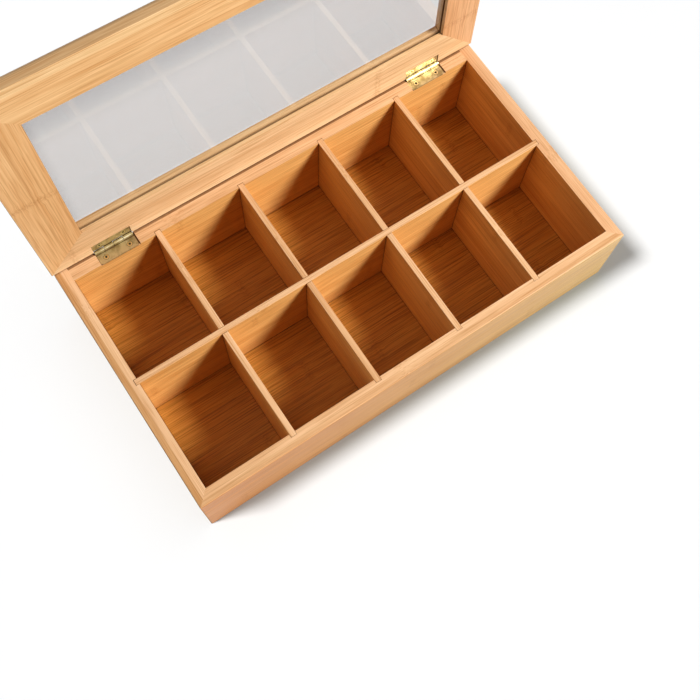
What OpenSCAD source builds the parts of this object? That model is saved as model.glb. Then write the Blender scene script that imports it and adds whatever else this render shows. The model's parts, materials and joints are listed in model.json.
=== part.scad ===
// Tea bag organizer box: a hinged bamboo box with ten compartments and a framed clear lid.
// Millimetres, +Z up. The origin is the centre of the underside and +Y points to the hinges.
// The lid is drawn standing open on its hinges; turned by open_angle about the pins it closes.

/* [Box] */
// Width of the box, side to side
box_w = 368; // [330:1:420]
// Depth of the box, front to back
box_d = 200; // [170:1:240]
// Height of the walls
box_h = 70; // [50:1:100]
// Thickness of the front and side walls
wall_t = 10; // [8:0.5:14]
// Thickness of the back wall, which carries the hinges
back_wall_t = 11.5; // [10:0.5:16]
// Rounding of the top outer edge at the front and the sides
edge_r = 1; // [0.5:0.5:5]
// Rounding of the top outer edge at the back
back_edge_r = 0.5; // [0.5:0.5:4]
// Rounding of the upright corners
corner_r = 1; // [0.5:0.5:4]

/* [Bottom panel] */
// Thickness of the bottom panel, let in flush with the underside
bottom_t = 3; // [2:0.5:6]
// How far the rabbet reaches under the walls
rabbet_w = 5; // [3:0.5:7]
// Clearance round the bottom panel in its rabbet
panel_gap = 0.3; // [0.1:0.1:0.6]

/* [Dividers] */
// Thickness of the dividers
divider_t = 4.5; // [3:0.5:8]
// How deep the ends of the dividers reach into the walls
dado_depth = 2.5; // [1:0.5:4]
// Clearance round a divider's end in its dado
dado_gap = 0.15; // [0.05:0.05:0.4]
// Clearance in the half-lap joints between the dividers
lap_gap = 0.1; // [0.05:0.05:0.4]

/* [Lid] */
// Thickness of the lid frame
lid_t = 11; // [8:0.5:14]
// Width of the four pieces of the lid frame
frame_w = 32.5; // [22:0.5:45]
// How far the lid stands past the box at each side
lid_overhang = 1.5; // [0:0.5:3]
// How far the lid's rear edge stops short of the back of the box
lid_inset = 2; // [2:0.5:5]
// Gap between the closed lid and the rim
lid_gap = 0.6; // [0.4:0.1:1.2]
// Rounding of the outer face's edges
lid_edge_r = 6; // [0.5:0.5:6]
// Rounding of the inside face's edges
lid_inner_r = 0.5; // [0.5:0.5:3]
// How far the lid opens
open_angle = 91.5; // [60:0.5:110]

/* [Window] */
// Thickness of the clear pane
pane_t = 2; // [1.5:0.5:4]
// How deep the pane reaches into the frame
pane_bite = 4; // [2:0.5:7]
// Depth of the groove that holds the pane
groove_depth = 5; // [3:0.5:9]
// Depth of the pane below the lid's inside face
pane_depth = 3.5; // [2:0.5:5]
// Clearance between the pane and the outer side of its groove
pane_gap = 0.05; // [0.05:0.05:0.2]
// Clearance between the pane and the inner side of its groove
pane_play = 0.6; // [0.1:0.05:0.6]

/* [Hinges] */
// Distance from the side of the box to the near end of a hinge
hinge_inset = 32; // [25:1:50]
// Length of a hinge along its pin
leaf_len = 30.5; // [24:0.5:40]
// Width of a leaf, from the pin axis to its outer edge
leaf_w = 10.1; // [9:0.1:14]
// Thickness of the leaves
leaf_t = 0.8; // [0.6:0.1:1.2]
// Rounding of the outer corners of the leaves
leaf_corner_r = 2; // [0.5:0.5:3]
// Radius of the hinge pin
pin_r = 0.9; // [0.7:0.1:1.5]
// Running clearance between the pin and the knuckles
pin_gap = 0.05; // [0.02:0.01:0.1]
// Distance of the pin axis in front of the back of the box
pin_inset = 1.3; // [0.5:0.1:1.6]
// Gap between neighbouring knuckles, end to end
knuckle_gap = 0.3; // [0.2:0.05:0.5]
// Clearance round the turning knuckles
knuckle_room = 0.3; // [0.2:0.05:0.5]
// Clearance round a leaf in its mortise
leaf_gap = 0.2; // [0.1:0.05:0.4]
// Extra length of the mortises in the box, at their right-hand ends
mortise_play = 0.9; // [0:0.1:1.5]

/* [Screws] */
// Distance between the two screws of a leaf
screw_spacing = 19; // [12:0.5:22]
// Distance of the screws from the pin axis
screw_offset = 5.9; // [5:0.1:7]
// Radius of the countersunk heads
screw_head_r = 2.2; // [1.8:0.1:2.5]
// Radius of the shanks
screw_shank_r = 1.2; // [0.8:0.1:1.4]
// Length of the screws
screw_len = 7; // [5:0.5:7.5]
// Length of the point of a screw
screw_tip = 2; // [1:0.5:3]
// Clearance round a screw in its hole
screw_gap = 0.05; // [0.02:0.01:0.1]
// Length of the arms of the cross recess
drive_len = 2.2; // [1.4:0.1:2.6]
// Width of the arms of the cross recess
drive_w = 0.55; // [0.3:0.05:0.8]
// Depth of the cross recess
drive_depth = 0.6; // [0.3:0.1:0.8]

/* [Hidden] */
$fn = 96;

bamboo = [0.93, 0.70, 0.45];
bamboo_side = [0.85, 0.60, 0.34];
bamboo_floor = [0.62, 0.38, 0.17];
brass = [0.78, 0.66, 0.36];
acrylic = [0.82, 0.86, 0.88, 0.35];

over = 1;                    // how far a cut runs past the face that it opens
left = -1;
right = 1;

side_x = box_w / 2;                              // outer faces of the side walls
front_y = -box_d / 2;
back_y = box_d / 2;
inner_x = side_x - wall_t;                       // inner faces of the walls
inner_front_y = front_y + wall_t;
inner_back_y = back_y - back_wall_t;
inner_d = inner_back_y - inner_front_y;
middle_y = (inner_front_y + inner_back_y) / 2;   // centre line of the long divider

columns = 5;
divider_h = box_h - bottom_t;
lap_z = bottom_t + divider_h / 2;                // where the half-laps meet
cell_w = (2 * inner_x - (columns - 1) * divider_t) / columns;
long_len = 2 * (inner_x + dado_depth);
cross_len = inner_d + 2 * dado_depth;

lid_x = side_x + lid_overhang;                   // outer faces of the lid, as closed
lid_front_y = front_y;
lid_back_y = back_y - lid_inset;
lid_z = box_h + lid_gap;
lid_d = lid_back_y - lid_front_y;
lid_middle_y = (lid_front_y + lid_back_y) / 2;
opening_w = 2 * (lid_x - frame_w);               // opening of the lid frame
opening_d = lid_d - 2 * frame_w;
pane_back = pane_depth + pane_t;                 // depth of the pane's outer face

pin_y = back_y - pin_inset;
pin_z = box_h + lid_gap / 2;
knuckles = 4;
knuckle_r = pin_r + pin_gap + leaf_t;            // a leaf rolled round its pin
knuckle_pitch = leaf_len / knuckles;
hinge_x = side_x - hinge_inset - leaf_len / 2;
head_h = screw_head_r - screw_shank_r;           // heads countersunk at 90 degrees

// Centre of cross divider i, counted from 1 at the left
function cross_x(i) = -inner_x + i * (cell_w + divider_t) - divider_t / 2;

// Ends of knuckle k, counted from 0 at the left
function knuckle_from(k) = -leaf_len / 2 + k * knuckle_pitch + (k == 0 ? 0 : knuckle_gap / 2);
function knuckle_to(k) =
    -leaf_len / 2 + (k + 1) * knuckle_pitch - (k == knuckles - 1 ? 0 : knuckle_gap / 2);

// ---- Shared shapes ----

// Waste outside a quarter round: the corner is at the origin, the solid towards +X and +Y
module corner_waste(r) {
    difference() {
        translate([-over, -over]) square(r + over);
        translate([r, r]) circle(r = r);
    }
}

// Waste outside a rounded edge along X: the solid lies behind the edge and below it
module edge_waste(length, r) {
    rotate([-90, 0, 90])
        linear_extrude(height = length + 2 * over, center = true) corner_waste(r);
}

// Slab with rounded upright corners; top_r and low_r round its edges in the order
// front, right, back, left, and 0 leaves an edge square
module slab(size, upright_r, top_r, low_r) {
    reach = [size.y / 2, size.x / 2, size.y / 2, size.x / 2];
    run = [size.x, size.y, size.x, size.y];
    difference() {
        translate([-size.x / 2, -size.y / 2, 0]) cube(size);
        for (i = [0:3]) rotate([0, 0, 90 * i]) {
            translate([-run[i] / 2, -reach[i], -over])
                linear_extrude(height = size.z + 2 * over) corner_waste(upright_r);
            if (top_r[i] > 0)
                translate([0, -reach[i], size.z]) edge_waste(run[i], top_r[i]);
            if (low_r[i] > 0)
                translate([0, -reach[i], 0]) mirror([0, 0, 1]) edge_waste(run[i], low_r[i]);
        }
    }
}

// Upright prism over an outline, from below the underside to above the given height
module prism(top, outline) {
    translate([0, 0, -over]) linear_extrude(height = top + 2 * over) polygon(outline);
}

// ---- Box ----

// The whole box as one solid block
module box_block() {
    slab([box_w, box_d, box_h], corner_r,
         [edge_r, edge_r, back_edge_r, edge_r], [0, 0, 0, 0]);
}

// Seat of the bottom panel: the panel grown by its clearance and open below
module bottom_seat() {
    reach = rabbet_w + panel_gap;
    translate([-inner_x - reach, inner_front_y - reach, -over])
        cube([2 * (inner_x + reach), inner_d + 2 * reach, bottom_t + over]);
}

// Board of a divider along X, grown by a gap at its faces, its ends and its top
module divider_board(length, gap) {
    translate([-length / 2 - gap, -divider_t / 2 - gap, bottom_t])
        cube([length + 2 * gap, divider_t + 2 * gap, divider_h + gap]);
}

module at_cross(i) {
    translate([cross_x(i), middle_y, 0]) rotate([0, 0, 90]) children();
}

// Dados for the ends of the cross dividers
module cross_dados() {
    for (i = [1 : columns - 1]) at_cross(i) divider_board(cross_len, dado_gap);
}

// Slot of a half-lap across a divider that runs along X
module lap_slot(from, to) {
    width = divider_t + 2 * lap_gap;
    translate([-width / 2, -width / 2, from]) cube([width, width, to - from]);
}

module front_wall() {
    color(bamboo) difference() {
        intersection() {
            box_block();
            prism(box_h, [
                [-side_x - over, front_y - over], [side_x + over, front_y - over],
                [inner_x, inner_front_y], [-inner_x, inner_front_y],
            ]);
        }
        bottom_seat();
        cross_dados();
    }
}

// Side walls are mitred at the front and run through to the back
module side_wall(side) {
    color(bamboo) difference() {
        intersection() {
            box_block();
            prism(box_h, [
                [side * (side_x + over), front_y - over], [side * inner_x, inner_front_y],
                [side * inner_x, back_y + over], [side * (side_x + over), back_y + over],
            ]);
        }
        bottom_seat();
        translate([0, middle_y, 0]) divider_board(long_len, dado_gap);
    }
}

// The back wall stands between the side walls and is mortised for the hinges
module back_wall() {
    color(bamboo) difference() {
        intersection() {
            box_block();
            translate([-inner_x, inner_back_y, -over])
                cube([2 * inner_x, back_wall_t + over, box_h + 2 * over]);
        }
        bottom_seat();
        cross_dados();
        for (side = [left, right]) at_hinge(side) leaf_mortise(mortise_play);
    }
}

module left_wall() { side_wall(left); }

module right_wall() { side_wall(right); }

module bottom_panel() {
    color(bamboo_floor)
        translate([-inner_x - rabbet_w, inner_front_y - rabbet_w, 0])
            cube([2 * (inner_x + rabbet_w), inner_d + 2 * rabbet_w, bottom_t]);
}

// The long divider is slotted from below, so that its top edge runs through
module long_divider() {
    color(bamboo_side) translate([0, middle_y, 0]) difference() {
        divider_board(long_len, 0);
        for (i = [1 : columns - 1])
            translate([cross_x(i), 0, 0]) lap_slot(bottom_t - over, lap_z + lap_gap);
    }
}

// A cross divider is slotted from above
module cross_divider(i) {
    color(bamboo_side) at_cross(i) difference() {
        divider_board(cross_len, 0);
        lap_slot(lap_z, box_h + over);
    }
}

// ---- Lid, drawn closed and then opened ----

module as_opened() {
    translate([0, pin_y, pin_z]) rotate([-open_angle, 0, 0]) translate([0, -pin_y, -pin_z])
        children();
}

// The whole lid as one solid board
module lid_block() {
    top_r = [for (i = [0:3]) lid_edge_r];
    low_r = [for (i = [0:3]) lid_inner_r];
    translate([0, lid_middle_y, lid_z]) slab([2 * lid_x, lid_d, lid_t], corner_r, top_r, low_r);
}

// Board that fills the opening of the lid frame and reaches into the frame, between two
// depths below the lid's inside face
module window_board(bite, from, to) {
    size = [opening_w + 2 * bite, opening_d + 2 * bite, to - from];
    translate([0, lid_middle_y, lid_z + (from + to) / 2]) cube(size, center = true);
}

// One piece of the mitred frame, cut from the lid's block by its outline in plan
module frame_piece(outline) {
    difference() {
        intersection() {
            lid_block();
            prism(lid_z + lid_t, outline);
        }
        window_board(groove_depth, pane_depth - pane_play, pane_back + pane_gap);
    }
}

// Front rail for a direction of -1 and rear rail for 1
module lid_rail(edge_y, direction) {
    frame_piece([
        [-lid_x - over, edge_y + direction * over], [lid_x + over, edge_y + direction * over],
        [lid_x - frame_w, edge_y - direction * frame_w],
        [-lid_x + frame_w, edge_y - direction * frame_w],
    ]);
}

module lid_stile(side) {
    color(bamboo) as_opened() frame_piece([
        [side * (lid_x + over), lid_front_y - over],
        [side * (lid_x - frame_w), lid_front_y + frame_w],
        [side * (lid_x - frame_w), lid_back_y - frame_w],
        [side * (lid_x + over), lid_back_y + over],
    ]);
}

module lid_front_rail() {
    color(bamboo) as_opened() lid_rail(lid_front_y, -1);
}

module lid_rear_rail() {
    color(bamboo) as_opened() difference() {
        lid_rail(lid_back_y, 1);
        for (side = [left, right]) at_hinge(side) mirror([0, 0, 1]) leaf_mortise(0);
    }
}

module lid_left_stile() { lid_stile(left); }

module lid_right_stile() { lid_stile(right); }

module lid_window() {
    color(acrylic) as_opened() window_board(pane_bite, pane_depth, pane_back);
}

// ---- Hinges: the pin axis is X, and a leaf lies below it, towards -Y ----

module at_hinge(side) {
    translate([side * hinge_x, pin_y, pin_z]) children();
}

// Cylinder round the pin axis
module on_pin(r, from, to) {
    translate([from, 0, 0]) rotate([0, 90, 0]) cylinder(r = r, h = to - from);
}

module at_screws() {
    for (side = [left, right])
        translate([side * screw_spacing / 2, -screw_offset, -knuckle_r + leaf_t]) children();
}

// Screw with its head up, grown by a clearance
module screw_body(gap, tip) {
    translate([0, 0, -head_h])
        cylinder(r1 = screw_shank_r + gap, r2 = screw_head_r + gap, h = head_h);
    translate([0, 0, -screw_len + tip])
        cylinder(r = screw_shank_r + gap, h = screw_len - tip - head_h);
    if (tip > 0)
        translate([0, 0, -screw_len])
            cylinder(r1 = screw_shank_r / 4, r2 = screw_shank_r, h = tip);
}

module screw_holes() {
    at_screws() {
        screw_body(screw_gap, 0);
        cylinder(r = screw_head_r + screw_gap, h = over);
    }
}

module screws() {
    color(brass) at_screws() difference() {
        screw_body(0, screw_tip);
        for (turn = [0, 90]) rotate([0, 0, turn])
            translate([-drive_len / 2, -drive_w / 2, -drive_depth])
                cube([drive_len, drive_w, drive_depth + over]);
    }
}

// Recess in the wood for a leaf, its turning knuckles and its screws
module leaf_mortise(play) {
    from = -leaf_len / 2 - leaf_gap;
    to = leaf_len / 2 + leaf_gap + play;
    translate([from, -leaf_w - leaf_gap, -knuckle_r])
        cube([to - from, leaf_w + leaf_gap + pin_inset + over, knuckle_r + over]);
    on_pin(knuckle_r + knuckle_room, from, to);
    screw_holes();
}

// Plan of a leaf, from its outer edge to just short of the pin axis
module leaf_plan() {
    difference() {
        translate([-leaf_len / 2, -leaf_w]) square([leaf_len, leaf_w - leaf_t / 2]);
        translate([-leaf_len / 2, -leaf_w]) corner_waste(leaf_corner_r);
        translate([leaf_len / 2, -leaf_w]) rotate(90) corner_waste(leaf_corner_r);
    }
}

// One leaf with every second knuckle, starting from knuckle first
module leaf(first) {
    reach = knuckle_r + knuckle_room;
    color(brass) difference() {
        union() {
            translate([0, 0, -knuckle_r]) linear_extrude(height = leaf_t) leaf_plan();
            for (k = [first : 2 : knuckles - 1])
                on_pin(knuckle_r, knuckle_from(k), knuckle_to(k));
        }
        for (k = [1 - first : 2 : knuckles - 1])
            translate([knuckle_from(k) - knuckle_gap, -reach, -knuckle_r - over])
                cube([
                    knuckle_to(k) - knuckle_from(k) + 2 * knuckle_gap,
                    reach + over,
                    leaf_t + 2 * over,
                ]);
        on_pin(pin_r + pin_gap, -leaf_len / 2 - over, leaf_len / 2 + over);
        screw_holes();
    }
}

module hinge_box_leaf(side) {
    at_hinge(side) leaf(0);
}

module hinge_lid_leaf(side) {
    as_opened() at_hinge(side) mirror([0, 0, 1]) leaf(1);
}

module hinge_pin(side) {
    color(brass) at_hinge(side) on_pin(pin_r, -leaf_len / 2, leaf_len / 2);
}

module hinge_box_screws(side) {
    at_hinge(side) screws();
}

module hinge_lid_screws(side) {
    as_opened() at_hinge(side) mirror([0, 0, 1]) screws();
}

// ---- Nodes ----

front_wall();
back_wall();
left_wall();
right_wall();
bottom_panel();
long_divider();
cross_divider(1);  // cross_divider_1
cross_divider(2);  // cross_divider_2
cross_divider(3);  // cross_divider_3
cross_divider(4);  // cross_divider_4
lid_front_rail();
lid_rear_rail();
lid_left_stile();
lid_right_stile();
lid_window();
hinge_box_leaf(left);  // left_hinge_box_leaf
hinge_lid_leaf(left);  // left_hinge_lid_leaf
hinge_pin(left);  // left_hinge_pin
hinge_box_screws(left);  // left_hinge_box_screws
hinge_lid_screws(left);  // left_hinge_lid_screws
hinge_box_leaf(right);  // right_hinge_box_leaf
hinge_lid_leaf(right);  // right_hinge_lid_leaf
hinge_pin(right);  // right_hinge_pin
hinge_box_screws(right);  // right_hinge_box_screws
hinge_lid_screws(right);  // right_hinge_lid_screws
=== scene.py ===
"""Tea bag organizer box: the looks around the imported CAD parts.

Metres, +Z up, the box stands on z = 0 with its hinges towards +Y. Every wooden piece has its own
board cut from a procedural bamboo, with the grain along the piece.
"""
import json
import math

import bpy
from mathutils import Matrix, Vector


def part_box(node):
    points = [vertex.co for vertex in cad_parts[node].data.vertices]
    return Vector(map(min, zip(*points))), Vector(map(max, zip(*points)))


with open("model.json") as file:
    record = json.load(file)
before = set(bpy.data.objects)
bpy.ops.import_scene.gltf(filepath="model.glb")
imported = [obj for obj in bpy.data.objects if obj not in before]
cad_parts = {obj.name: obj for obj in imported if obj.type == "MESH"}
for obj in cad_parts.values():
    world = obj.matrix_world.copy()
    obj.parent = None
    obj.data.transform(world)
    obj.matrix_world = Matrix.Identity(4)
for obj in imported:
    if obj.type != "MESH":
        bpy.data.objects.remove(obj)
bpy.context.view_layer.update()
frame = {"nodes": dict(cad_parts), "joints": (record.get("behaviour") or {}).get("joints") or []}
nodes = frame["nodes"]
hinge = frame["joints"][0]

MM = 0.001
BOX_MIDDLE = Vector((0.0, 0.0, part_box("front_wall")[1][2] / 2))
LID_OPEN = math.radians(hinge["range_deg"][1])     # how far the lid stands open
PIN = hinge["pos_m"]                               # a point on the axis of the hinge pins
ARRIS = 0.4 * MM                                   # how far the boards' sharp edges are eased

# ---- Camera: the photograph's viewpoint ----
CAMERA_AT = Vector((-172.8, -227.6, 705.9)) * MM
CAMERA_RIGHT = Vector((0.8217, -0.5663, 0.0649))   # direction of the picture's x axis
CAMERA_FORWARD = Vector((0.2333, 0.2304, -0.9447))
SENSOR = 36.0                                # mm
LENS = 48.75                                 # mm
SHIFT_X = -0.0510
SHIFT_Y = -0.0085

# ---- Light ----
KEY_FROM = Vector((0.88, -0.88, 1.06))       # towards the key lamp, which lights the object
KEY_AWAY = 2.3                               # its distance
KEY_ANGLE = math.radians(20.0)               # its apparent size, which softens the shadows
KEY_STRENGTH = 5.15                          # W/m2 at the object, facing the lamp
FILL_FROM = Vector((-0.8, 0.55, 1.0))        # towards the soft lamp across from the key
FILL_ANGLE = math.radians(60.0)
FILL_STRENGTH = 0.35
REAR_FROM = Vector((-0.7, 0.7, 0.05))        # towards the low lamp behind, for the far sides
REAR_ANGLE = math.radians(20.0)
REAR_STRENGTH = 1.3
FLOOR_FROM = Vector((-0.60, 0.15, 1.0))      # towards the lamp of the floor
FLOOR_ANGLE = math.radians(12.0)
FLOOR_STRENGTH = 2.6
FLOOR_FILL = 0.86                            # soft light from above on the floor
# The floor's own colour. Its lamps are warm by as much, so it shows white, and the light that
# the wood throws back doesn't redden the object's shadow.
FLOOR_COOL = (0.60, 0.80, 1.0)
FLOOR_BOUNCE = 0.30                          # how much of its light it throws on the object
SKY_STRENGTH = 0.024
GLOSS_STRENGTH = 0.48                        # what metal and glass reflect of the surroundings


def srgb(text):
    """Linear colour from a hex code such as F0B27A."""
    channels = [int(text[i:i + 2], 16) / 255 for i in (0, 2, 4)]
    linear = [c / 12.92 if c <= 0.04045 else ((c + 0.055) / 1.055) ** 2.4 for c in channels]
    return (*linear, 1.0)


# ---- Boards ----
FACE = srgb("F5BB6E")                   # broad sides
EDGE = srgb("F0C292")                   # narrow sides, paler: partly their own tone, partly painted sheen
FRONT_FACE = srgb("E8B478")
FRONT_LEFT_SHADE = (1.0, 0.80, 0.68, 1)       # painted light falloff on the front face: darker and redder at the left end lighter and yellower at the right
FRONT_RIGHT_LIGHT = (1.0, 1.20, 1.22, 1)      # to yellow at the right
FRONT_REACH = 170 * MM                  # from the middle to where that ends
BACK_EDGE = srgb("E6B888")
RIGHT_EDGE = srgb("EBB98A")
FLOOR_FACE = srgb("E3A349")
RAIL_FACE = srgb("F8C88C")
REAR_RAIL_FACE = srgb("FAD09C")
REAR_RAIL_EDGE = srgb("F0C28C")
STILE_FACE = srgb("F8C68A")
RIGHT_STILE_FACE = srgb("ECB580")
LID_EDGE = srgb("D9AC78")

# Length, width and thickness of each board, and the colours of its broad and narrow sides
BOARDS = {
    "front_wall": ("XZY", FRONT_FACE, EDGE), "back_wall": ("XZY", FACE, BACK_EDGE),
    "left_wall": ("YZX", FACE, EDGE), "right_wall": ("YZX", FACE, RIGHT_EDGE),
    "bottom_panel": ("XYZ", FLOOR_FACE, EDGE), "long_divider": ("XZY", FACE, EDGE),
    "cross_divider_1": ("YZX", FACE, EDGE), "cross_divider_2": ("YZX", FACE, EDGE),
    "cross_divider_3": ("YZX", FACE, EDGE), "cross_divider_4": ("YZX", FACE, EDGE),
    "lid_front_rail": ("XZY", RAIL_FACE, LID_EDGE),
    "lid_rear_rail": ("XZY", REAR_RAIL_FACE, REAR_RAIL_EDGE),
    "lid_left_stile": ("ZXY", STILE_FACE, LID_EDGE),
    "lid_right_stile": ("ZXY", RIGHT_STILE_FACE, LID_EDGE),
}
STRIP = 17.0 * MM                       # width of a bamboo lamella
LID_STRIP = 60.0 * MM                   # the same on the lid
OUTER_LAMELLA = 4.6 * MM                # thickness of the walls' outer lamella
HINGE_GAP_SHADOW = 2.4 * MM                   # painted shadow: a dark strip along the back wall's top, below the gap at the hinge line
RAIL_STRIP = 6.5 * MM                   # width of the pale lamella along the outer edge of the rails

# What the grain and the joints multiply a board's colour by
LIGHT_GRAIN = (1.04, 1.10, 1.20, 1)
DARK_GRAIN = (0.74, 0.62, 0.50, 1)
FINE_LINE = (0.77, 0.67, 0.54, 1)
FLOOR_LINE = (0.66, 0.58, 0.46, 1)      # a fine line on the compartments' floors
SEAM = (0.72, 0.60, 0.48, 1)            # between two lamellas
SCAR = (0.66, 0.52, 0.38, 1)            # at the node of a cane
SHADED = (0.79, 0.79, 0.79, 1)          # painted shade on the sides towards +X of the dividers and the left wall
CREVICE_SHADE = (0.34, 0.24, 0.16, 1)   # painted shade where two boards meet
CREVICE = 1.5 * MM                      # how far from a joint that reaches

# How many spots of each noise lie on a metre, along the grain and twice across it
BROAD = (3.0, 45.0, 45.0)
STREAK = (5.0, 260.0, 260.0)
FINE = (12.0, 700.0, 700.0)
FIBRE = (18.0, 1000.0, 1000.0)
SPECKLE = (700.0, 500.0, 500.0)
WAVE = (160.0, 160.0, 160.0)

NODE_SPACING = 260 * MM                 # distance between the nodes of a cane
NODE_BEND = 4 * MM                      # how far the grain swings there
NODE_REACH = 12 * MM                    # how far along the grain it swings
NODE_SCAR = 4.5 * MM                    # half the length of the speckled scar
NODE_LINE = 1.6 * MM                    # from the node to the line on each side of it
# Where a board of the lid shows its cane's node, along the board
NODE_AT = {
    "lid_left_stile": 163 * MM, "lid_right_stile": 111 * MM,
    "lid_rear_rail": 94 * MM, "lid_front_rail": 60 * MM,
}

# ---- Metal and pane ----
BRASS = (srgb("D8C89E"), srgb("A59062"))
# painted shade in the hinges' crevices
BRASS_CREVICE_SHADE = srgb("4A3418")
SCREW = srgb("EBD9A8")
# painted shade in the screws' recesses and round their heads
SCREW_RECESS_SHADE = srgb("2E1F0C")
SCREW_HEAD = 2.2 * MM                   # radius of the hinges' screw heads
PANE_TINT = (0.705, 0.69, 0.68, 1)
PANE_FOOT = (0.92, 0.92, 0.92, 1)       # its lower edge, in front of the rail
FOOT_FROM, FOOT_TO = 9 * MM, 18 * MM    # where that fades, above the pane's lower edge
TOP_SHADE = 45 * MM                     # how far below the front rail the pane's tint darkens, as a painted shadow
STILE_SHADE = 12 * MM                   # how far from the left stile it darkens, as a painted shadow


# ---------------------------------------------------------------- camera, floor and light

def add_camera():
    data = bpy.data.cameras.new("camera")
    data.sensor_width = SENSOR
    data.lens = LENS
    data.shift_x = SHIFT_X
    data.shift_y = SHIFT_Y
    data.clip_start = 0.01
    camera = bpy.data.objects.new("camera", data)
    forward = CAMERA_FORWARD.normalized()
    right = (CAMERA_RIGHT - forward * CAMERA_RIGHT.dot(forward)).normalized()
    up = right.cross(forward)
    turn = Matrix((right, up, -forward)).transposed()
    camera.matrix_world = Matrix.Translation(CAMERA_AT) @ turn.to_4x4()
    bpy.context.scene.collection.objects.link(camera)
    bpy.context.scene.camera = camera


class Shader:
    """A material under construction, with short calls for its nodes."""

    def __init__(self, name):
        self.material = bpy.data.materials.new(name)
        self.material.use_nodes = True
        self.tree = self.material.node_tree
        self.tree.nodes.clear()
        self.output = self.add("ShaderNodeOutputMaterial")

    def add(self, kind, inputs=None, **settings):
        """A node of a kind, with its settings and its inputs by name or number."""
        made = self.tree.nodes.new(kind)
        for name, value in settings.items():
            setattr(made, name, value)
        for name, value in (inputs or {}).items():
            self.feed(made.inputs[name], value)
        return made

    def feed(self, socket, value):
        if isinstance(value, bpy.types.NodeSocket):
            self.tree.links.new(value, socket)
        else:
            socket.default_value = value

    def math(self, operation, a, b=0.0, c=0.0, clamp=False):
        made = self.add("ShaderNodeMath", {0: a, 1: b, 2: c}, operation=operation, use_clamp=clamp)
        return made.outputs[0]

    def ramp(self, value, low, high, to_low=0.0, to_high=1.0, smooth=True):
        """Maps value from low..high to to_low..to_high, held at both ends."""
        kind = "SMOOTHSTEP" if smooth else "LINEAR"
        made = self.add(
            "ShaderNodeMapRange",
            {"Value": value, "From Min": low, "From Max": high, "To Min": to_low, "To Max": to_high},
            interpolation_type=kind,
        )
        return made.outputs[0]

    def mix(self, share, a, b, blend="MIX"):
        made = self.add("ShaderNodeMix", data_type="RGBA", blend_type=blend)
        self.feed(made.inputs[0], share)
        self.feed(made.inputs[6], a)
        self.feed(made.inputs[7], b)
        return made.outputs[2]

    def tinted(self, colour, tint, share=1.0):
        """The colour, multiplied by the tint as far as share says."""
        return self.mix(share, colour, self.mix(1.0, colour, tint, "MULTIPLY"))

    def open_air(self, distance):
        """How open a spot is to its surroundings within a distance, from 0 in a crevice to 1."""
        made = self.add("ShaderNodeAmbientOcclusion", {"Distance": distance}, samples=8)
        return made.outputs["AO"]

    def scaled(self, vector, scale):
        made = self.add("ShaderNodeVectorMath", {0: vector, 1: scale}, operation="MULTIPLY")
        return made.outputs[0]

    def joined(self, x, y, z):
        return self.add("ShaderNodeCombineXYZ", {0: x, 1: y, 2: z}).outputs[0]

    def noise(self, vector, scale, detail=2.0, rough=0.5):
        made = self.add(
            "ShaderNodeTexNoise",
            {"Vector": self.scaled(vector, scale), "Scale": 1.0, "Detail": detail, "Roughness": rough},
        )
        return made.outputs[0]

    def show(self, shader):
        self.tree.links.new(shader.outputs[0], self.output.inputs["Surface"])
        return self.material


def add_floor():
    bpy.ops.mesh.primitive_plane_add(size=6.0, location=(0, 0, 0))
    floor = bpy.context.object
    floor.name = "floor"
    s = Shader("floor")
    path = s.add("ShaderNodeLightPath")
    seen = s.math("MAXIMUM", path.outputs["Is Camera Ray"], path.outputs["Is Glossy Ray"])
    seen = s.math("MAXIMUM", seen, path.outputs["Is Transmission Ray"])
    plain = s.add("ShaderNodeBsdfDiffuse", {"Color": (*(FLOOR_BOUNCE * c for c in FLOOR_COOL), 1)})
    lifted = s.add("ShaderNodeBsdfDiffuse", {"Color": (*FLOOR_COOL, 1)})
    mixed = s.add("ShaderNodeMixShader", {0: seen, 1: plain.outputs[0], 2: lifted.outputs[0]})
    floor.data.materials.append(s.show(mixed))
    return floor


def add_lamp(name, kind, towards, away=0.0):
    """A lamp that shines on the middle of the box."""
    lamp = bpy.data.objects.new(name, bpy.data.lights.new(name, kind))
    lamp.location = BOX_MIDDLE + towards.normalized() * away
    lamp.rotation_euler = towards.normalized().to_track_quat("Z", "Y").to_euler()
    bpy.context.scene.collection.objects.link(lamp)
    return lamp


def add_sun(name, towards, strength, angle):
    lamp = add_lamp(name, "SUN", towards)
    lamp.data.energy = strength
    lamp.data.angle = angle
    return lamp


def add_disk(name, towards, away, angle, strength):
    """A round lamp that lights the box's middle as strongly as a sun of that strength."""
    lamp = add_lamp(name, "AREA", towards, away)
    lamp.data.shape = "DISK"
    lamp.data.size = 2 * away * math.tan(angle / 2)
    lamp.data.energy = strength * math.pi * away ** 2
    return lamp


def light_only(lamp, floor, state):
    """Lets a lamp light the floor only (INCLUDE), or all but the floor and the pane (EXCLUDE)."""
    lit = bpy.data.collections.new(lamp.name + "_lit")
    for piece in [floor] + [nodes["lid_window"]] * (state == "EXCLUDE"):
        lit.objects.link(piece)
    for linked in lit.collection_objects:
        linked.light_linking.link_state = state
    lamp.light_linking.receiver_collection = lit


def shade_by_box(lamp):
    """Leaves the raised lid out of a lamp's shadow."""
    shading = bpy.data.collections.new(lamp.name + "_shading")
    for name, piece in nodes.items():
        if not name.startswith("lid") and "hinge" not in name:
            shading.objects.link(piece)
    lamp.light_linking.blocker_collection = shading


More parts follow.
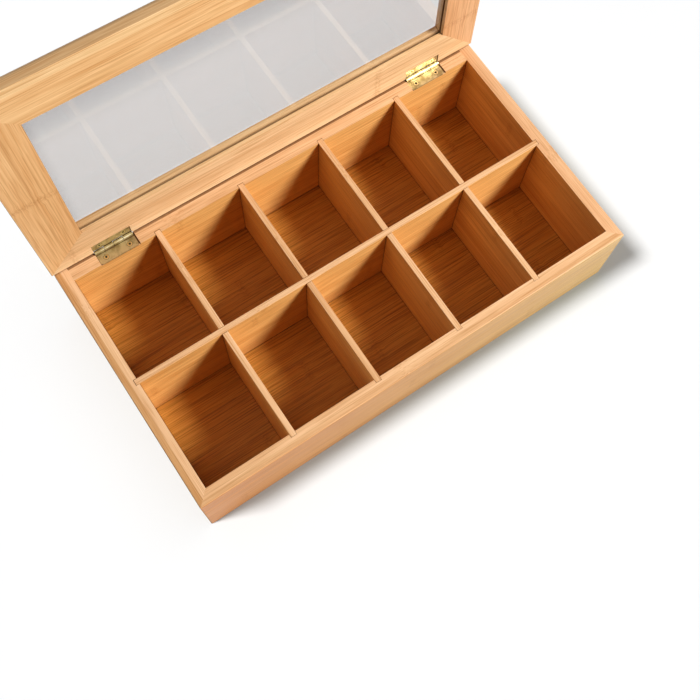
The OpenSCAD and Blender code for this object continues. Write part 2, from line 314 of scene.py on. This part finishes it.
def add_world():
    world = bpy.data.worlds.new("world")
    bpy.context.scene.world = world
    world.use_nodes = True
    tree = world.node_tree
    tree.nodes.clear()
    path = tree.nodes.new("ShaderNodeLightPath")
    output = tree.nodes.new("ShaderNodeOutputWorld")

    def background(strength):
        made = tree.nodes.new("ShaderNodeBackground")
        made.inputs["Color"].default_value = (1.0, 1.0, 1.0, 1.0)
        made.inputs["Strength"].default_value = strength
        return made.outputs[0]

    def choose(share, a, b):
        made = tree.nodes.new("ShaderNodeMixShader")
        for socket, value in zip(made.inputs, (share, a, b)):
            tree.links.new(value, socket)
        return made.outputs[0]

    seen = tree.nodes.new("ShaderNodeMath")
    seen.operation = "MAXIMUM"
    tree.links.new(path.outputs["Is Camera Ray"], seen.inputs[0])
    tree.links.new(path.outputs["Is Transmission Ray"], seen.inputs[1])
    light = choose(path.outputs["Is Glossy Ray"], background(SKY_STRENGTH), background(GLOSS_STRENGTH))
    tree.links.new(choose(seen.outputs[0], light, background(1.0)), output.inputs["Surface"])


# ---------------------------------------------------------------- bamboo

def outer_band_tint(name):
    """The axis across a band along a board's outer side, where it ends, its side and its tint."""
    low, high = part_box(name)
    return {
        # The walls' tints are partly their outer lamellas' own tone, partly painted shade on the left
        # wall and the front wall and painted light on the right wall
        "left_wall": ("X", low[0] + OUTER_LAMELLA, -1, (0.76, 0.66, 0.50, 1)),
        "right_wall": ("X", high[0] - OUTER_LAMELLA, 1, (1.02, 1.05, 1.06, 1)),
        "front_wall": ("Y", low[1] + OUTER_LAMELLA, -1, (0.93, 0.90, 0.84, 1)),
        # Painted shadow along the back wall's top, below the gap at the hinge line
        "back_wall": ("Y", high[1] - HINGE_GAP_SHADOW, 1, (0.42, 0.34, 0.27, 1)),
        "lid_front_rail": ("Z", high[2] - RAIL_STRIP, 1, (1.00, 1.07, 1.14, 1)),
        "lid_rear_rail": ("Z", low[2] + RAIL_STRIP, -1, (1.00, 1.06, 1.11, 1)),
    }.get(name)


def bamboo(name, seed, axes, face, edge):
    """Laminated bamboo for one board.

    axes names the board's length, width and thickness, such as XZY. face colours its broad sides
    and edge its narrow ones. seed sets its canes apart from other boards'.
    """
    on_lid = name.startswith("lid")
    s = Shader(name)
    coords = s.add("ShaderNodeTexCoord")
    place, normal = coords.outputs["Object"], coords.outputs["Normal"]
    if on_lid:
        lean = {"Center": PIN, "Angle": LID_OPEN - math.radians(90)}
        place = s.add("ShaderNodeVectorRotate", {"Vector": place, **lean},
                      rotation_type="X_AXIS").outputs[0]
    xyz = s.add("ShaderNodeSeparateXYZ", {0: place}).outputs
    normals = s.add("ShaderNodeSeparateXYZ", {0: normal}).outputs
    along, across, deep = (xyz["XYZ".index(axis)] for axis in axes)
    broad_side = s.ramp(s.math("ABSOLUTE", normals["XYZ".index(axes[2])]), 0.5, 0.9)

    # Lamellas across the board, each from another cane
    strip_width = LID_STRIP if on_lid else STRIP
    strip = s.math("ADD", s.math("DIVIDE", across, strip_width), seed * 3.37)
    number = s.math("FLOOR", strip)
    inside = s.math("FRACT", strip)
    joint = s.math("MINIMUM", inside, s.math("SUBTRACT", 1.0, inside))
    cane = s.add("ShaderNodeTexWhiteNoise", {"Vector": s.joined(number, seed, 0.5)},
                 noise_dimensions="3D").outputs[0]
    shift = s.math("MULTIPLY_ADD", cane, 1.7, seed * 0.61)
    if name in NODE_AT:
        shift = NODE_SPACING / 2 - NODE_AT[name]
    length = s.math("ADD", along, shift)

    # The grain bends a little where a cane has its node
    spacing = s.math("FRACT", s.math("DIVIDE", length, NODE_SPACING))
    to_node = s.math("MULTIPLY", s.math("ABSOLUTE", s.math("SUBTRACT", spacing, 0.5)), NODE_SPACING)
    near = s.ramp(to_node, 0.0, NODE_REACH, 1.0, 0.0)
    wave = s.noise(s.joined(length, across, deep), WAVE, 1.0)
    bend = s.math("MULTIPLY", s.math("SUBTRACT", wave, 0.5), s.math("MULTIPLY", near, NODE_BEND))
    grain = s.joined(length, s.math("ADD", across, bend), s.math("ADD", deep, seed * 0.19))

    broad = s.noise(grain, BROAD, 2.0)
    streak = s.noise(grain, STREAK, 3.0, 0.6)
    fine = s.noise(grain, FINE, 2.0, 0.6)
    fibre = s.noise(grain, FIBRE, 2.0, 0.6)

    tone = s.math("MULTIPLY_ADD", s.math("SUBTRACT", cane, 0.5), 0.05, s.math("MULTIPLY", broad, 0.2))
    tone = s.math("MULTIPLY_ADD", streak, 0.28, tone)
    tone = s.math("MULTIPLY_ADD", fine, 0.52, tone)
    # The box's narrow sides are paler, partly their own tone and partly painted sheen
    plain = s.mix(broad_side, edge, face)
    colour = s.mix(s.ramp(tone, 0.38, 0.62, smooth=False),
                   s.tinted(plain, DARK_GRAIN), s.tinted(plain, LIGHT_GRAIN))
    line_tint, line_share = (FLOOR_LINE, 0.9) if name == "bottom_panel" else (FINE_LINE, 0.7)
    for lines in (fine, fibre):
        colour = s.tinted(colour, line_tint, s.ramp(lines, 0.52, 0.60, 0.0, line_share))
    colour = s.tinted(colour, SEAM, s.ramp(joint, 0.0, 0.018, 0.45, 0.0))

    speckle = s.ramp(s.noise(grain, SPECKLE, 1.0), 0.40, 0.62)
    knot = s.math("MULTIPLY", s.ramp(to_node, 0.0, NODE_SCAR, 1.0, 0.0), speckle)
    to_line = s.math("ABSOLUTE", s.math("SUBTRACT", to_node, NODE_LINE))
    line = s.ramp(to_line, 0.3 * MM, 1.0 * MM, 0.4, 0.0)
    mark = s.math("MULTIPLY", s.math("MAXIMUM", knot, line), broad_side)
    colour = s.tinted(colour, SCAR, s.math("MULTIPLY", mark, 0.45))

    # A band along an outer side: outer lamellas, with painted light and shade on the walls, and the
    # back wall's painted shadow
    band = outer_band_tint(name)
    if band:
        axis, ends_at, side, tint = band
        outer = s.ramp(xyz["XYZ".index(axis)], ends_at - 0.15 * MM, ends_at + 0.15 * MM)
        if side < 0:
            outer = s.math("SUBTRACT", 1.0, outer)
        if name == "back_wall":                  # its top only, where the painted shadow lies
            outer = s.math("MULTIPLY", outer, s.math("GREATER_THAN", normals["Z"], 0.7))
        colour = s.tinted(colour, tint, outer)
    # Painted light: the front face darker and redder at the left end, lighter at the right
    if name == "front_wall":
        painted_sweep = s.mix(s.ramp(xyz["X"], -FRONT_REACH, FRONT_REACH, smooth=False),
                      FRONT_LEFT_SHADE, FRONT_RIGHT_LIGHT)
        colour = s.tinted(colour, painted_sweep, s.ramp(normals["Y"], -0.9, -0.5, 1.0, 0.0))
    # Painted shade: the sides towards +X darker
    if name.startswith("cross") or name == "left_wall":
        colour = s.tinted(colour, SHADED, s.ramp(normals["X"], 0.5, 0.9))
    # Painted shade in the crevices, darker where a spot is less open
    colour = s.tinted(colour, CREVICE_SHADE, s.ramp(s.open_air(CREVICE), 0.45, 0.85, 0.82, 0.0))

    bump = s.add("ShaderNodeBump", {"Height": s.math("ADD", fine, fibre), "Strength": 0.25,
                                    "Distance": 0.1 * MM})
    wood = s.add("ShaderNodeBsdfPrincipled", {
        "Base Color": colour, "Roughness": s.ramp(streak, 0.3, 0.7, 0.40, 0.52),
        "Normal": bump.outputs[0], "Specular IOR Level": 0.3,
    })
    return s.show(wood)


# ---------------------------------------------------------------- metal and pane

def brass():
    s = Shader("brass")
    place = s.add("ShaderNodeTexCoord").outputs["Object"]
    cloud = s.noise(place, (180.0, 180.0, 180.0), 3.0)
    colour = s.mix(s.ramp(cloud, 0.35, 0.7), *BRASS)
    # Painted shade: darker where the hinge is less open
    colour = s.mix(s.ramp(s.open_air(1.2 * MM), 0.35, 0.8, 0.95, 0.0), colour, BRASS_CREVICE_SHADE)
    metal = s.add("ShaderNodeBsdfPrincipled", {
        "Base Color": colour, "Metallic": 1.0, "Roughness": s.ramp(cloud, 0.3, 0.7, 0.38, 0.50)})
    return s.show(metal)


def screw(name):
    """Head of a countersunk screw: a bright ring with painted shade in its recess and round its rim,
    on both screws of a node.
    """
    s = Shader(name)
    low, high = (Vector(corner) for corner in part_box(name))
    xyz = s.add("ShaderNodeSeparateXYZ", {0: s.add("ShaderNodeTexCoord").outputs["Object"]}).outputs
    flat = "Y" if "box" in name else "Z"         # the head's other axis
    middle = (low + high) / 2
    reach = (high.x - low.x) / 2 - SCREW_HEAD
    off_x = s.math("SUBTRACT", s.math("ABSOLUTE", s.math("SUBTRACT", xyz["X"], middle.x)), reach)
    off_y = s.math("SUBTRACT", xyz[flat], middle["XYZ".index(flat)])
    away = s.math("SQRT", s.math("ADD", s.math("POWER", off_x, 2.0), s.math("POWER", off_y, 2.0)))
    # Painted shade in the recess and round the rim of the head
    hole = s.ramp(away, 0.25 * SCREW_HEAD, 0.50 * SCREW_HEAD, 1.0, 0.0)
    rim = s.ramp(away, 0.80 * SCREW_HEAD, 0.95 * SCREW_HEAD, 0.0, 0.75)
    dark = s.math("MAXIMUM", hole, rim)
    metal = s.add("ShaderNodeBsdfPrincipled", {
        "Base Color": s.mix(dark, SCREW, SCREW_RECESS_SHADE), "Metallic": 1.0,
        "Roughness": s.ramp(dark, 0.0, 1.0, 0.25, 0.6)})
    return s.show(metal)


def acrylic():
    s = Shader("clear_acrylic")
    path = s.add("ShaderNodeLightPath")
    low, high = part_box("lid_window")
    xyz = s.add("ShaderNodeSeparateXYZ", {0: s.add("ShaderNodeTexCoord").outputs["Object"]}).outputs
    # Painted shadow of the front rail and the left stile: the pane's tint darker near them
    rail_shadow = s.ramp(xyz["Z"], high[2] - TOP_SHADE, high[2], 1.0, 0.74)
    stile_shadow = s.ramp(xyz["X"], low[0], low[0] + STILE_SHADE, 0.80, 1.0)
    tint = s.mix(s.math("MULTIPLY", rail_shadow, stile_shadow), (0.0, 0.0, 0.0, 1), PANE_TINT)
    tint = s.mix(s.ramp(xyz["Z"], low[2] + FOOT_FROM, low[2] + FOOT_TO, 1.0, 0.0), tint, PANE_FOOT)
    clear = s.add("ShaderNodeBsdfPrincipled", {
        "Base Color": tint, "Roughness": 0.02, "IOR": 1.4, "Transmission Weight": 1.0})
    through = s.add("ShaderNodeBsdfTransparent", {"Color": (0.92, 0.94, 0.94, 1)})
    mixed = s.add("ShaderNodeMixShader", {
        0: path.outputs["Is Shadow Ray"], 1: clear.outputs[0], 2: through.outputs[0]})
    return s.show(mixed)


# ---------------------------------------------------------------- the pieces

def soften(piece, width):
    """Eases the sharp arrises of a CAD piece."""
    weld = piece.modifiers.new("weld", "WELD")
    weld.merge_threshold = 1e-6
    bevel = piece.modifiers.new("arris", "BEVEL")
    bevel.width = width
    bevel.segments = 2
    bevel.limit_method = "ANGLE"
    bevel.angle_limit = math.radians(50)
    piece.modifiers.new("normals", "WEIGHTED_NORMAL")


def give(piece, material):
    piece.data.materials.clear()
    piece.data.materials.append(material)


def dress():
    for seed, (name, (axes, face, edge)) in enumerate(BOARDS.items(), 1):
        give(nodes[name], bamboo(name, seed, axes, face, edge))
        soften(nodes[name], ARRIS)
    metal = brass()
    for name, piece in nodes.items():
        if "hinge" in name:
            give(piece, screw(name) if "screws" in name else metal)
    give(nodes["lid_window"], acrylic())


add_camera()
floor = add_floor()
add_world()
light_only(add_disk("key", KEY_FROM, KEY_AWAY, KEY_ANGLE, KEY_STRENGTH), floor, "EXCLUDE")
light_only(add_sun("fill", FILL_FROM, FILL_STRENGTH, FILL_ANGLE), floor, "EXCLUDE")
light_only(add_sun("rear", REAR_FROM, REAR_STRENGTH, REAR_ANGLE), floor, "EXCLUDE")
for lamp in (add_sun("floor_key", FLOOR_FROM, FLOOR_STRENGTH, FLOOR_ANGLE),
             add_sun("floor_fill", Vector((0, 0, 1)), FLOOR_FILL, math.radians(90))):
    lamp.data.color = [1 / c for c in FLOOR_COOL]
    light_only(lamp, floor, "INCLUDE")
    shade_by_box(lamp)
dress()

scene = bpy.context.scene
scene.view_settings.view_transform = "Standard"
